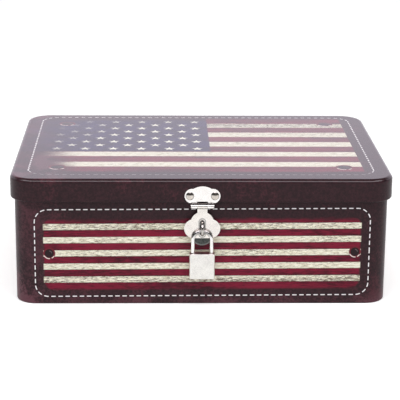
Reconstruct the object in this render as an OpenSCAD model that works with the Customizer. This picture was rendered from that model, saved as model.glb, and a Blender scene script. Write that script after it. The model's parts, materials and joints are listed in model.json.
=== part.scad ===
// Small tin trunk with a riveted hasp and a hanging padlock.
// Origin: centre of the bottom face. +X is the width, the hasp faces -Y, +Z is up.

/* [Trunk] */
// Width over the lid
lid_w = 240.6; // [180:0.1:320]
// Depth over the lid
lid_d = 178.6; // [130:0.1:240]
// Height of the closed trunk
trunk_h = 82.4; // [74:0.1:140]
// Corner radius of the lid, seen from above
lid_corner_r = 16; // [10:0.5:30]
// How far the lid stands out past the body on every side
lid_overhang = 2.6; // [2:0.1:3]
// Height of the lid's skirt
skirt_h = 14.8; // [13:0.1:16]
// Radius of the lid's rounded top edge
lid_edge_r = 2.5; // [1.5:0.1:3]
// Thickness of the tinplate
tin_t = 0.35; // [0.25:0.05:0.45]
// Radius of the rolled hems on the lid and the body
hem_r = 0.9; // [0.6:0.05:0.95]
// Gap between the body's rim and the underside of the lid
rim_gap = 0.3; // [0.1:0.1:1]

/* [Bottom] */
// Radius of the body's bottom edge
foot_r = 1.2; // [0.6:0.1:2]
// Width of the flange that carries the bottom pan
foot_w = 4; // [3:0.5:6]
// Height of the bottom pan's upturned edge
pan_rim_h = 5; // [3:0.5:8]
// Gap between the bottom pan and the wall round it
pan_gap = 0.1; // [0.05:0.05:0.3]
// Width of the lock seam down the back wall
seam_w = 5; // [3:0.5:8]
// Distance of the seam's ends from the bottom pan and the hem
seam_inset = 1; // [0.5:0.1:2]

/* [Knuckles and pins] */
// Thickness of the hinge and hasp metal
strap_t = 0.7; // [0.5:0.05:0.8]
// Radius of the hinge pins
pin_r = 1; // [0.8:0.05:1.1]
// Running clearance round a pin
pin_fit = 0.05; // [0.02:0.01:0.1]
// Width of a middle knuckle
mid_knuckle_w = 6.2; // [5:0.1:8]
// Width of each outer knuckle
end_knuckle_w = 3.6; // [3:0.1:5]
// Gap between neighbouring knuckles
knuckle_gap = 0.2; // [0.1:0.05:0.4]
// How far each pin stands out of its end knuckles
pin_proud = 0.3; // [0.1:0.1:0.6]

/* [Rear hinges] */
// Distance between the two hinges
hinge_span = 140; // [80:1:170]
// Depth of the hinge axis below the lid's skirt
hinge_drop = 2; // [1.9:0.1:3]
// Height of the leaf on the lid, above the axis
lid_leaf_h = 12.2; // [11.5:0.1:12.6]
// Height of the leaf on the body, below the axis
body_leaf_h = 16; // [14:0.5:20]
// Corner radius of the leaves
leaf_corner_r = 3; // [1:0.5:4]
// Distance between the two rivets of a leaf
leaf_rivet_span = 9.4; // [8:0.1:10]
// Distance of a leaf's rivets from its end
leaf_rivet_inset = 3.4; // [2.5:0.1:4]
// Gap between a leaf's plate and the knuckle that turns past it
leaf_gap = 0.3; // [0.2:0.05:0.4]
// Angle at which the open lid comes to rest on the hinge lips
lid_stop_angle = 110.5; // [105:0.5:120]

/* [Rivets] */
// Radius of every rivet's shank
shank_r = 1; // [0.7:0.05:1.1]
// Clearance round a shank in its hole
shank_fit = 0.05; // [0.02:0.01:0.1]
// Radius of the hasp rivets' domed heads
hasp_head_r = 2.6; // [2:0.1:2.8]
// Height of the hasp rivets' heads
hasp_head_h = 1.1; // [0.6:0.1:1.3]
// Radius of the hinge rivets' heads
leaf_head_r = 1.9; // [1.5:0.1:2.2]
// Height of the hinge rivets' heads
leaf_head_h = 0.8; // [0.5:0.1:1]
// Height of the low rivet heads behind the tongue
low_head_h = 0.6; // [0.3:0.1:0.7]
// Radius of the clenched tails
tail_r = 1.6; // [1.3:0.1:2]
// Height of the clenched tails
tail_h = 0.5; // [0.3:0.1:0.8]

/* [Hasp] */
// Depth of the hasp's axis below the lid's skirt
hasp_drop = 1.8; // [1.6:0.1:3]
// Distance between the two hasp rivets
hasp_rivet_span = 15.6; // [15:0.1:16]
// Height of the hasp rivets above the axis
hasp_rivet_rise = 6.2; // [6:0.1:6.8]
// Radius of the plate's two end lobes
plate_lobe_r = 4.7; // [4.6:0.1:5]
// Distance between the centres of the end lobes
plate_lobe_span = 12.8; // [12.6:0.1:14]
// Radius of the arch in the middle of the plate
plate_arch_r = 10.5; // [9.5:0.1:11]
// Height of the arch above the axis
plate_rise = 12.5; // [12:0.05:13.4]
// Height of the gap in the plate above the middle knuckle
plate_gap_h = 0.9; // [0.4:0.1:1.2]
// Length of the tongue below the axis
tongue_l = 21.1; // [19.8:0.1:21.5]
// Radius of the tongue's shoulders
tongue_shoulder_r = 7.3; // [7:0.1:7.6]
// Depth of the centre of the shoulders below the axis
tongue_shoulder_drop = 11.2; // [10.8:0.1:11.6]
// Radius of the tongue's side lobes
tongue_lobe_r = 6.2; // [6:0.1:6.4]
// Distance between the centres of the side lobes
tongue_lobe_span = 10.2; // [9.6:0.1:10.8]
// Width of the slot in the tongue
slot_w = 3.2; // [2.6:0.1:3.6]
// Gap between the slot and the staple, above and below
slot_gap = 0.35; // [0.3:0.05:0.5]

/* [Staple] */
// Radius of the staple's wire
staple_wire_r = 0.9; // [0.7:0.05:1]
// Distance between the staple's two legs
staple_pitch = 7.6; // [6.6:0.1:7.8]
// Depth of the staple's centre below the hasp's axis
staple_drop = 14.5; // [14:0.05:14.6]
// Thickness of the plate under the staple
staple_plate_t = 0.8; // [0.5:0.1:1]
// Radius of the round foot of the staple plate
staple_foot_r = 7; // [6.6:0.1:7.4]
// Depth of the foot's centre below the middle of the staple
staple_foot_drop = 5.1; // [5:0.05:6]
// Radius of the staple plate's rivet lobes
staple_lobe_r = 3.4; // [3:0.1:3.8]
// Distance between the staple plate's rivets
staple_rivet_span = 14.8; // [14:0.1:15.2]
// Radius of the low rivet heads
low_head_r = 1.8; // [1.5:0.1:2.2]
// Radius of the top of the staple plate
staple_crown_r = 5; // [4.6:0.1:5.4]

/* [Padlock] */
// Width of the padlock's case
case_w = 15.9; // [15.6:0.1:17]
// Thickness of the case
case_t = 6; // [6:0.1:6.5]
// Height of the case
case_h = 16.4; // [14.4:0.1:18]
// Radius of the case's upright edges
case_corner_r = 1.2; // [0.8:0.1:1.8]
// Radius of the case's top and bottom edges
case_edge_r = 0.4; // [0.2:0.1:0.6]
// Thickness of the case under the long leg's bore
case_floor = 1; // [0.8:0.1:1.2]
// Radius of the shackle's wire
shackle_r = 1.2; // [0.9:0.05:1.25]
// Distance between the shackle's legs
shackle_pitch = 11.7; // [11.7:0.1:12.1]
// Height of the shackle's axis above the top of the case
shackle_rise = 14.2; // [14:0.1:18]
// Gap between the shackle and the staple it hangs on
hang_gap = 0.15; // [0.1:0.05:0.3]
// Gap between the tongue and the shackle in front of it
tongue_gap = 0.6; // [0.4:0.1:0.8]
// Clearance round the shackle's legs in the case
leg_fit = 0.05; // [0.03:0.01:0.1]
// Room below the short leg in its bore
toe_room = 0.3; // [0.2:0.1:0.6]
// Height of the cone on the end of each leg
leg_tip = 0.3; // [0.2:0.05:0.4]
// Length of the short leg inside the case
toe_l = 3.2; // [3.2:0.1:3.6]
// Length of the long leg inside the case
heel_l = 10; // [9.8:0.1:10.4]
// How far the case drops when it is unlocked
case_drop = 3.4; // [3.3:0.1:3.6]

/* [Lock] */
// Thickness of the bolt
bolt_t = 0.8; // [0.6:0.05:0.85]
// Depth of the bolt below the top of the case
bolt_depth = 0.9; // [0.8:0.05:1]
// Width of the bolt's nose
bolt_nose_w = 1.6; // [1.2:0.1:2]
// Width of the bolt's tail, which holds the cam slot
bolt_tail_w = 4.6; // [4.4:0.1:4.8]
// Width of the metal beside the cam slot
tail_wall = 0.6; // [0.5:0.05:0.7]
// Travel of the bolt
bolt_travel = 2.4; // [2.3:0.05:2.45]
// Depth of the notch in the short leg
notch_depth = 0.8; // [0.7:0.05:0.9]
// Gap between the bolt's nose and the bottom of the notch
bolt_gap = 0.1; // [0.05:0.05:0.15]
// Clearance round the bolt
bolt_fit = 0.05; // [0.03:0.01:0.1]
// Free play between the bolt and the lower side of the notch
notch_play = 1.1; // [1.05:0.05:1.2]
// Radius of the key plug
plug_r = 2.4; // [2.3:0.05:2.45]
// Clearance round the key plug
plug_fit = 0.05; // [0.03:0.01:0.1]
// Radius of the cam pin on top of the plug
cam_pin_r = 0.5; // [0.4:0.05:0.55]
// Distance of the cam pin from the plug's axis
cam_throw = 1.7; // [1.65:0.01:1.75]
// Clearance of the cam pin in its slot
cam_fit = 0.15; // [0.1:0.01:0.2]
// Width of the keyway
keyway_w = 0.9; // [0.6:0.1:1.2]
// Height of the keyway
keyway_h = 3.2; // [2.6:0.1:3.4]
// Depth of the keyway
keyway_l = 7; // [4:0.5:9]
// Radius of the two retaining pins
lock_pin_r = 0.45; // [0.35:0.05:0.5]
// Clearance round the retaining pins
lock_pin_fit = 0.03; // [0.01:0.01:0.05]
// Depth of the pin that holds the long leg
heel_pin_depth = 5; // [4.6:0.1:5.4]
// Depth of the pin that holds the plug
plug_pin_depth = 8; // [6:0.1:10]
// Inset of the retaining pins' ends in the case's faces
lock_pin_inset = 0.1; // [0.05:0.05:0.3]
// Depth of a groove past the pin that runs in it
groove_play = 0.05; // [0.03:0.01:0.1]
// Radius of the wire of the shackle spring
spring_wire_r = 0.18; // [0.12:0.01:0.2]
// Turns of the shackle spring
spring_turns = 4; // [3:1:5]
// Clearance of the shackle spring in its bore
spring_gap = 0.05; // [0.03:0.01:0.1]

/* [Hidden] */
$fn = 64;

// Cuts run this far past the faces they open
cut = 1;
// Sheets of one piece run this far into each other where they join
weld = 0.1;

// The body inside the lid
body_w = lid_w - 2 * lid_overhang;
body_d = lid_d - 2 * lid_overhang;
body_corner_r = lid_corner_r - lid_overhang;
skirt_z = trunk_h - skirt_h;
rim_z = trunk_h - tin_t - rim_gap;
lid_face_y = -lid_d / 2;
body_face_y = -body_d / 2;
pan_corner_r = body_corner_r - tin_t - pan_gap;

// Knuckles: the sheet wraps the pin, and its back lies in the plane of the plate
bore_r = pin_r + pin_fit;
knuckle_r = bore_r + strap_t;
mid_edge = mid_knuckle_w / 2;
end_from = mid_edge + knuckle_gap;
end_to = end_from + end_knuckle_w;
pin_l = 2 * (end_to + pin_proud);

// Rear hinges
hinge_z = skirt_z - hinge_drop;
leaf_w = 2 * end_to;
lid_leaf_from = hinge_z + knuckle_r + leaf_gap;
joggle_top = hinge_z - knuckle_r - leaf_gap;
joggle_bottom = joggle_top - lid_overhang;
// A sheet bent through 45 degrees keeps its thickness when its outer bend lies this much lower
joggle_shift = strap_t * tan(22.5);
lip_reach = -bore_r * (1 + sin(lid_stop_angle)) / cos(lid_stop_angle);
// The rivet places of a hinge leaf
lid_leaf_rivet_z = hinge_z + lid_leaf_h - leaf_rivet_inset;
body_leaf_rivet_z = hinge_z - body_leaf_h + leaf_rivet_inset;

// Hasp and staple
hasp_z = skirt_z - hasp_drop;
hasp_rivet_z = hasp_z + hasp_rivet_rise;
staple_z = hasp_z - staple_drop;
staple_low_z = staple_z - staple_pitch / 2;
slot_half = staple_pitch / 2 + staple_wire_r + slot_gap;
tongue_end_z = hasp_z - tongue_l;
tongue_lobe_z = tongue_end_z + tongue_lobe_r;
plate_from = hasp_z + knuckle_r;

// Padlock: it hangs by its shackle on the staple's lower leg
shackle_y = lid_face_y - strap_t - tongue_gap - shackle_r;
shackle_z = staple_low_z + staple_wire_r + hang_gap + shackle_r;
case_top = shackle_z - shackle_rise;
case_bottom = case_top - case_h;
leg_x = shackle_pitch / 2;
bolt_top = case_top - bolt_depth;
bolt_bottom = bolt_top - bolt_t;
notch_x = leg_x - shackle_r + notch_depth;
nose_x = notch_x - bolt_gap;
cam_x = cam_throw * cos(45);
cam_y = cam_throw * sin(45);
tail_from = -cam_x - bolt_travel / 2 + tail_wall;
tail_to = cam_x + cam_pin_r + cam_fit + tail_wall;
plug_top = bolt_bottom - 2 * bolt_fit;
heel_pin_z = case_top - heel_pin_depth;
plug_pin_z = case_top - plug_pin_depth;
// Both retaining pins lie half inside the side of the piece they hold
heel_pin_x = -leg_x + shackle_r;
plug_pin_x = plug_r + plug_fit;
lock_pin_l = case_t - 2 * lock_pin_inset;
heel_bore_end = case_bottom + case_floor;

// Shackle spring: it stands between the floor of the long leg's bore and the end of the leg
spring_sides = 6;
spring_steps = 14;
spring_coil_r = shackle_r - spring_wire_r - spring_gap;
spring_from = heel_bore_end + spring_wire_r + spring_gap;
spring_to = case_top - heel_l - spring_wire_r - spring_gap;

// Colours
leather_brown = [0.27, 0.16, 0.17];
tin_grey = [0.72, 0.72, 0.7];
nickel = [0.86, 0.86, 0.85];
dark_steel = [0.5, 0.5, 0.5];

// Sweeps a profile round a rectangle with rounded corners.
// The profile's x runs outwards from the corner's centre, and its y is the height.
module around(w, d, r) {
    for (side = [0, 180]) {
        rotate([0, 0, side])
            translate([w / 2 - r, 0, 0])
                rotate([90, 0, 0])
                    linear_extrude(d - 2 * r, center = true)
                        children();
        rotate([0, 0, side + 90])
            translate([d / 2 - r, 0, 0])
                rotate([90, 0, 0])
                    linear_extrude(w - 2 * r, center = true)
                        children();
    }
    for (sx = [-1, 1], sy = [-1, 1])
        translate([sx * (w / 2 - r), sy * (d / 2 - r), 0])
            rotate([0, 0, sx > 0 ? (sy > 0 ? 0 : 270) : (sy > 0 ? 90 : 180)])
                rotate_extrude(angle = 90)
                    children();
}

// The flat field inside a sweep
module field(w, d, r, z, t) {
    translate([-w / 2 + r, -d / 2 + r, z])
        cube([w - 2 * r, d - 2 * r, t]);
}

// A quarter of a bent sheet, with its centre at the origin
module bend(r, t, from) {
    rotate(from)
        intersection() {
            difference() {
                circle(r);
                circle(r - t);
            }
            square(r);
        }
}

// A plate standing on a face that looks towards -Y
module on_face(y, t) {
    translate([0, y, 0])
        rotate([90, 0, 0])
            linear_extrude(t)
                children();
}

// A round bar along X
module x_bar(from, to, r, y, z) {
    translate([from, y, z])
        rotate([0, 90, 0])
            cylinder(h = to - from, r = r);
}

// A round hole along Y through whatever lies between two planes
module y_hole(x, z, r, from, to) {
    translate([x, to, z])
        rotate([90, 0, 0])
            cylinder(h = to - from, r = r);
}

// A rivet on a face that looks towards -Y: domed head, shank and clenched tail
module rivet(x, y, z, head_r, head_h, grip) {
    ball_r = (head_r * head_r + head_h * head_h) / (2 * head_h);
    translate([x, y, z])
        rotate([90, 0, 0]) {
            rotate_extrude()
                intersection() {
                    translate([0, head_h - ball_r])
                        circle(ball_r);
                    square([head_r, head_h]);
                }
            translate([0, 0, -grip])
                cylinder(h = grip, r = shank_r);
            translate([0, 0, -grip - tail_h])
                cylinder(h = tail_h, r = tail_r);
        }
}

module at_hinges() {
    for (sx = [-1, 1])
        at_hinge(sx)
            children();
}

// Turns a piece drawn for the front face to the back, at one hinge
module at_hinge(sx) {
    translate([sx * hinge_span / 2, 0, 0])
        mirror([0, 1, 0])
            children();
}

module leaf_rivet_holes(y, z) {
    for (sx = [-1, 1])
        y_hole(sx * leaf_rivet_span / 2, z, shank_r + shank_fit, y - cut - strap_t, y + cut);
}

module body_profile() {
    r = body_corner_r;
    translate([r - foot_w, 0])
        square([foot_w - foot_r, tin_t]);
    translate([r - foot_r, foot_r])
        bend(foot_r, tin_t, 270);
    translate([r - tin_t, foot_r])
        square([tin_t, rim_z - hem_r - foot_r]);
    translate([r - hem_r, rim_z - hem_r])
        for (from = [0, 90, 180])
            bend(hem_r, tin_t, from);
}

module body_band() {
    color(leather_brown)
        difference() {
            union() {
                around(body_w, body_d, body_corner_r)
                    body_profile();
                lock_seam();
            }
            at_hinges()
                leaf_rivet_holes(body_face_y, body_leaf_rivet_z);
            for (sx = [-1, 1])
                y_hole(sx * staple_rivet_span / 2, staple_z, shank_r + shank_fit,
                       body_face_y - cut, body_face_y + cut);
            for (sz = [-1, 1])
                y_hole(0, staple_z + sz * staple_pitch / 2, staple_wire_r + shank_fit,
                       body_face_y - cut, body_face_y + cut);
        }
}

// The band's two ends are hooked together on the inside of the back wall
module lock_seam() {
    from = tin_t + pan_rim_h + seam_inset;
    to = rim_z - 2 * hem_r - seam_inset;
    translate([-seam_w / 2, -body_face_y - 3 * tin_t, from])
        cube([seam_w, 2 * tin_t + weld, to - from]);
}

module pan_profile() {
    r = pan_corner_r;
    translate([0, tin_t])
        square([r - foot_r, tin_t]);
    translate([r - foot_r, tin_t + foot_r])
        bend(foot_r, tin_t, 270);
    translate([r - tin_t, tin_t + foot_r])
        square([tin_t, pan_rim_h - foot_r]);
}

module body_bottom() {
    inset = 2 * (tin_t + pan_gap);
    color(tin_grey) {
        around(body_w - inset, body_d - inset, pan_corner_r)
            pan_profile();
        field(body_w - inset, body_d - inset, pan_corner_r, tin_t, tin_t);
    }
}

module lid_profile() {
    r = lid_corner_r;
    translate([0, trunk_h - tin_t])
        square([r - lid_edge_r, tin_t]);
    translate([r - lid_edge_r, trunk_h - lid_edge_r])
        bend(lid_edge_r, tin_t, 0);
    translate([r - tin_t, skirt_z + hem_r])
        square([tin_t, skirt_h - lid_edge_r - hem_r]);
    translate([r - hem_r, skirt_z + hem_r])
        for (from = [90, 180, 270])
            bend(hem_r, tin_t, from);
}

module lid_shell() {
    color(leather_brown)
        difference() {
            union() {
                around(lid_w, lid_d, lid_corner_r)
                    lid_profile();
                field(lid_w, lid_d, lid_corner_r, trunk_h - tin_t, tin_t);
            }
            at_hinges()
                leaf_rivet_holes(lid_face_y, lid_leaf_rivet_z);
            for (sx = [-1, 1])
                y_hole(sx * hasp_rivet_span / 2, hasp_rivet_z, shank_r + shank_fit,
                       lid_face_y - cut, lid_face_y + cut);
        }
}

// A knuckle with the strap that leads into it along the plate's back
module knuckle(from, to, z, strap_from, strap_to) {
    x_bar(from, to, knuckle_r, lid_face_y - knuckle_r, z);
    translate([from, lid_face_y - strap_t, strap_from])
        cube([to - from, strap_t, strap_to - strap_from]);
}

module knuckle_bore(z) {
    x_bar(-end_to - cut, end_to + cut, bore_r, lid_face_y - knuckle_r, z);
}

// The outline of a hinge leaf with two rounded corners at its far end
module leaf_outline(near, far) {
    s = sign(far - near);
    for (sx = [-1, 1])
        translate([sx * (leaf_w / 2 - leaf_corner_r), far - s * leaf_corner_r])
            circle(leaf_corner_r);
    translate([-leaf_w / 2 + leaf_corner_r, min(near, far)])
        square([leaf_w - 2 * leaf_corner_r, abs(far - near)]);
    translate([-leaf_w / 2, min(near, far - s * leaf_corner_r)])
        square([leaf_w, abs(far - near) - leaf_corner_r]);
}

module hinge_leaf_lid() {
    color(nickel)
        difference() {
            union() {
                on_face(lid_face_y, strap_t)
                    leaf_outline(lid_leaf_from, hinge_z + lid_leaf_h);
                knuckle(-mid_edge, mid_edge, hinge_z, hinge_z, lid_leaf_from);
            }
            knuckle_bore(hinge_z);
            leaf_rivet_holes(lid_face_y, lid_leaf_rivet_z);
        }
}

// The sheet steps out from the body to the plane of the lid's face
module joggle() {
    foot_z = joggle_bottom - joggle_shift - weld;
    head_z = joggle_top + weld;
    translate([-leaf_w / 2, 0, 0])
        rotate([90, 0, 90])
            linear_extrude(leaf_w)
                polygon([[body_face_y, foot_z],
                         [body_face_y, joggle_bottom],
                         [lid_face_y, joggle_top],
                         [lid_face_y, head_z],
                         [lid_face_y - strap_t, head_z],
                         [lid_face_y - strap_t, joggle_top - joggle_shift],
                         [body_face_y - strap_t, joggle_bottom - joggle_shift],
                         [body_face_y - strap_t, foot_z]]);
}

module hinge_leaf_body() {
    color(nickel)
        difference() {
            union() {
                on_face(body_face_y, strap_t)
                    leaf_outline(joggle_bottom - joggle_shift, hinge_z - body_leaf_h);
                joggle();
                for (sx = [-1, 1])
                    mirror([sx < 0 ? 1 : 0, 0, 0]) {
                        knuckle(end_from, end_to, hinge_z, joggle_top, hinge_z);
                        rest_lip();
                    }
            }
            knuckle_bore(hinge_z);
            leaf_rivet_holes(body_face_y, body_leaf_rivet_z);
        }
}

// The end of the rolled strip runs out under the pin, and the open lid leans on it
module rest_lip() {
    translate([end_from, lid_face_y - knuckle_r - lip_reach, hinge_z - knuckle_r])
        cube([end_knuckle_w, lip_reach, strap_t]);
}

module hinge_pin() {
    color(nickel)
        x_bar(-pin_l / 2, pin_l / 2, pin_r, lid_face_y - knuckle_r, hinge_z);
}

module hinge_rivets_body() {
    color(nickel)
        at_hinges()
            for (sx = [-1, 1])
                rivet(sx * leaf_rivet_span / 2, body_face_y - strap_t, body_leaf_rivet_z,
                      leaf_head_r, leaf_head_h, strap_t + tin_t);
}

module hinge_rivets_lid() {
    color(nickel)
        at_hinges()
            for (sx = [-1, 1])
                rivet(sx * leaf_rivet_span / 2, lid_face_y - strap_t, lid_leaf_rivet_z,
                      leaf_head_r, leaf_head_h, strap_t + tin_t);
}

// Two round end lobes with an arch between them
module plate_outline() {
    intersection() {
        union() {
            for (sx = [-1, 1])
                translate([sx * plate_lobe_span / 2, hasp_rivet_z])
                    circle(plate_lobe_r);
            translate([-plate_lobe_span / 2, plate_from])
                square([plate_lobe_span, hasp_rivet_z - plate_from]);
        }
        translate([-lid_w / 2, plate_from])
            square([lid_w, plate_rise]);
    }
    intersection() {
        translate([0, hasp_z + plate_rise - plate_arch_r])
            circle(plate_arch_r);
        translate([-plate_arch_r, hasp_rivet_z])
            square(2 * plate_arch_r);
    }
}

module hasp_plate() {
    color(nickel)
        difference() {
            union() {
                on_face(lid_face_y, strap_t)
                    plate_outline();
                for (sx = [-1, 1])
                    mirror([sx < 0 ? 1 : 0, 0, 0])
                        knuckle(end_from, end_to, hasp_z, hasp_z, plate_from + strap_t);
            }
            knuckle_bore(hasp_z);
            translate([-end_from, lid_face_y - strap_t - cut, hasp_z])
                cube([2 * end_from, strap_t + 2 * cut, knuckle_r + plate_gap_h]);
            for (sx = [-1, 1])
                y_hole(sx * hasp_rivet_span / 2, hasp_rivet_z, shank_r + shank_fit,
                       lid_face_y - strap_t - cut, lid_face_y + cut);
        }
}

module hasp_rivets() {
    color(nickel)
        for (sx = [-1, 1])
            rivet(sx * hasp_rivet_span / 2, lid_face_y - strap_t, hasp_rivet_z,
                  hasp_head_r, hasp_head_h, strap_t + tin_t);
}

module hasp_pin() {
    color(nickel)
        x_bar(-pin_l / 2, pin_l / 2, pin_r, lid_face_y - knuckle_r, hasp_z);
}

// Round shoulders, two side lobes and a straight end, with the slot for the staple
module tongue_outline() {
    difference() {
        union() {
            translate([0, hasp_z - tongue_shoulder_drop])
                circle(tongue_shoulder_r);
            for (sx = [-1, 1])
                translate([sx * tongue_lobe_span / 2, tongue_lobe_z])
                    circle(tongue_lobe_r);
            translate([-tongue_lobe_span / 2, tongue_end_z])
                square([tongue_lobe_span, tongue_lobe_r]);
            translate([-mid_edge, tongue_lobe_z])
                square([mid_knuckle_w, hasp_z - tongue_lobe_z - knuckle_r]);
        }
        for (sz = [-1, 1])
            translate([0, staple_z + sz * (slot_half - slot_w / 2)])
                circle(slot_w / 2);
        translate([-slot_w / 2, staple_z - slot_half + slot_w / 2])
            square([slot_w, 2 * slot_half - slot_w]);
    }
}

module hasp_tongue() {
    color(nickel)
        difference() {
            union() {
                on_face(lid_face_y, strap_t)
                    tongue_outline();
                knuckle(-mid_edge, mid_edge, hasp_z, hasp_z - knuckle_r - strap_t, hasp_z);
            }
            knuckle_bore(hasp_z);
        }
}

// A round foot, two rivet lobes and a round crown, all but the foot hidden by the tongue
module staple_plate_outline() {
    translate([0, staple_z - staple_foot_drop])
        circle(staple_foot_r);
    for (sx = [-1, 1])
        translate([sx * staple_rivet_span / 2, staple_z])
            circle(staple_lobe_r);
    translate([-staple_rivet_span / 2, staple_z - staple_lobe_r / 2])
        square([staple_rivet_span, staple_lobe_r]);
    translate([0, staple_z + staple_crown_r / 2])
        circle(staple_crown_r);
}

module staple_plate() {
    color(nickel)
        difference() {
            on_face(body_face_y, staple_plate_t)
                staple_plate_outline();
            for (sx = [-1, 1])
                y_hole(sx * staple_rivet_span / 2, staple_z, shank_r + shank_fit,
                       body_face_y - staple_plate_t - cut, body_face_y + cut);
            for (sz = [-1, 1])
                y_hole(0, staple_z + sz * staple_pitch / 2, staple_wire_r + shank_fit,
                       body_face_y - staple_plate_t - cut, body_face_y + cut);
        }
}

module staple_loop() {
    inner_y = body_face_y + tin_t;
    color(nickel) {
        for (sz = [-1, 1]) {
            y_hole(0, staple_z + sz * staple_pitch / 2, staple_wire_r, shackle_y, inner_y + tail_h);
            y_hole(0, staple_z + sz * staple_pitch / 2, tail_r, inner_y, inner_y + tail_h);
        }
        translate([0, shackle_y, staple_z])
            rotate([0, 90, 0])
                rotate([0, 0, 180])
                    rotate_extrude(angle = 180)
                        translate([staple_pitch / 2, 0])
                            circle(staple_wire_r);
    }
}

module staple_rivets() {
    color(nickel)
        for (sx = [-1, 1])
            rivet(sx * staple_rivet_span / 2, body_face_y - staple_plate_t, staple_z,
                  low_head_r, low_head_h, staple_plate_t + tin_t);
}

// A wire leg that ends in a small cone
module shackle_leg(x, length) {
    translate([x, shackle_y, case_top - length + leg_tip])
        cylinder(h = shackle_z - leg_x - case_top + length - leg_tip, r = shackle_r);
    translate([x, shackle_y, case_top - length])
        cylinder(h = leg_tip, r1 = shackle_r - leg_tip, r2 = shackle_r);
}

module padlock_shackle() {
    color(nickel)
        difference() {
            union() {
                translate([0, shackle_y, shackle_z - leg_x])
                    rotate([90, 0, 0])
                        rotate_extrude(angle = 180)
                            translate([leg_x, 0])
                                circle(shackle_r);
                shackle_leg(leg_x, toe_l);
                shackle_leg(-leg_x, heel_l);
            }
            translate([notch_x - 2 * shackle_r, shackle_y - 2 * shackle_r,
                       bolt_bottom - notch_play])
                cube([2 * shackle_r, 4 * shackle_r, bolt_t + notch_play + bolt_fit]);
            heel_groove();
        }
}

// A flat along the long leg, as long as the case's drop, in which its pin runs
module heel_groove() {
    reach = lock_pin_r + groove_play;
    translate([heel_pin_x - reach, shackle_y - 2 * shackle_r, heel_pin_z - case_drop - reach])
        cube([2 * shackle_r, 4 * shackle_r, case_drop + 2 * reach]);
}

module case_profile() {
    r = case_corner_r;
    e = case_edge_r;
    square([r - e, case_h]);
    translate([0, e])
        square([r, case_h - 2 * e]);
    for (z = [e, case_h - e])
        translate([r - e, z])
            circle(e);
}

module padlock_case() {
    color(nickel)
        translate([0, shackle_y, 0])
            difference() {
                translate([0, 0, case_bottom]) {
                    around(case_w, case_t, case_corner_r)
                        case_profile();
                    field(case_w, case_t, case_corner_r, 0, case_h);
                }
                translate([leg_x, 0, case_top - toe_l - toe_room])
                    cylinder(h = toe_l + toe_room + cut, r = shackle_r + leg_fit);
                translate([-leg_x, 0, heel_bore_end])
                    cylinder(h = case_h, r = shackle_r + leg_fit);
                translate([0, 0, case_bottom - cut])
                    cylinder(h = bolt_bottom - case_bottom + cut, r = plug_r + plug_fit);
                bolt_chamber();
                lock_pin_hole(heel_pin_x, heel_pin_z);
                lock_pin_hole(plug_pin_x, plug_pin_z);
            }
}

// Room for the bolt's tail to slide in, and for its nose to reach the short leg
module bolt_chamber() {
    z = bolt_bottom - bolt_fit;
    h = bolt_t + 2 * bolt_fit;
    w = bolt_tail_w + 2 * bolt_fit;
    back = tail_from - bolt_travel - bolt_fit;
    translate([back, -w / 2, z])
        cube([tail_to + bolt_fit - back, w, h]);
    translate([0, -bolt_nose_w / 2 - bolt_fit, z])
        cube([leg_x, bolt_nose_w + 2 * bolt_fit, h]);
}

module lock_pin_hole(x, z) {
    y_hole(x, z, lock_pin_r + lock_pin_fit, -lock_pin_l / 2, case_t);
}

module padlock_plug() {
    keyway_end = case_bottom + keyway_l;
    color(dark_steel)
        translate([0, shackle_y, 0])
            difference() {
                union() {
                    translate([0, 0, case_bottom])
                        cylinder(h = plug_top - case_bottom, r = plug_r);
                    translate([cam_x, cam_y, plug_top])
                        cylinder(h = bolt_top - plug_top, r = cam_pin_r);
                }
                translate([-keyway_w / 2, -keyway_h / 2, case_bottom - cut])
                    cube([keyway_w, keyway_h, keyway_end - case_bottom + cut]);
                plug_groove();
            }
}

// A ring groove that the plug's retaining pin runs in
module plug_groove() {
    depth = lock_pin_r + groove_play;
    translate([0, 0, plug_pin_z - depth])
        rotate_extrude()
            translate([plug_r + plug_fit - depth, 0])
                square([2 * depth, 2 * depth]);
}

// The nose locks the short leg; the plug's cam pin drives the tail through its cross slot
module padlock_bolt() {
    color(dark_steel)
        translate([0, shackle_y, bolt_bottom])
            difference() {
                union() {
                    translate([tail_from, -bolt_tail_w / 2, 0])
                        cube([tail_to - tail_from, bolt_tail_w, bolt_t]);
                    translate([0, -bolt_nose_w / 2, 0])
                        cube([nose_x, bolt_nose_w, bolt_t]);
                }
                translate([cam_x - cam_pin_r - cam_fit, cam_y - cam_pin_r - cam_fit, -cut])
                    cube([2 * (cam_pin_r + cam_fit), bolt_tail_w, bolt_t + 2 * cut]);
            }
}

module padlock_pins() {
    color(dark_steel)
        translate([0, shackle_y, 0])
            for (at = [[heel_pin_x, heel_pin_z], [plug_pin_x, plug_pin_z]])
                y_hole(at[0], at[1], lock_pin_r, -lock_pin_l / 2, lock_pin_l / 2);
}

// A point on the tube that winds up the spring, at a step along it and a corner round it
function spring_point(i, k) =
    let (turn = 360 * i / spring_steps,
         round = 360 * k / spring_sides,
         r = spring_coil_r + spring_wire_r * cos(round),
         rise = (spring_to - spring_from) * i / (spring_steps * spring_turns))
    [r * cos(turn), r * sin(turn), spring_from + rise + spring_wire_r * sin(round)];

module padlock_spring() {
    rings = spring_steps * spring_turns;
    last = rings * spring_sides;
    points = [for (i = [0 : rings], k = [0 : spring_sides - 1]) spring_point(i, k)];
    sides = [for (i = [0 : rings - 1], k = [0 : spring_sides - 1])
        let (a = i * spring_sides + k,
             b = i * spring_sides + (k + 1) % spring_sides)
        each [[a, b, b + spring_sides], [a, b + spring_sides, a + spring_sides]]];
    ends = [[for (k = [spring_sides - 1 : -1 : 0]) k],
            [for (k = [0 : spring_sides - 1]) last + k]];
    color(dark_steel)
        translate([-leg_x, shackle_y, 0])
            polyhedron(points, concat(sides, ends));
}

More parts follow.
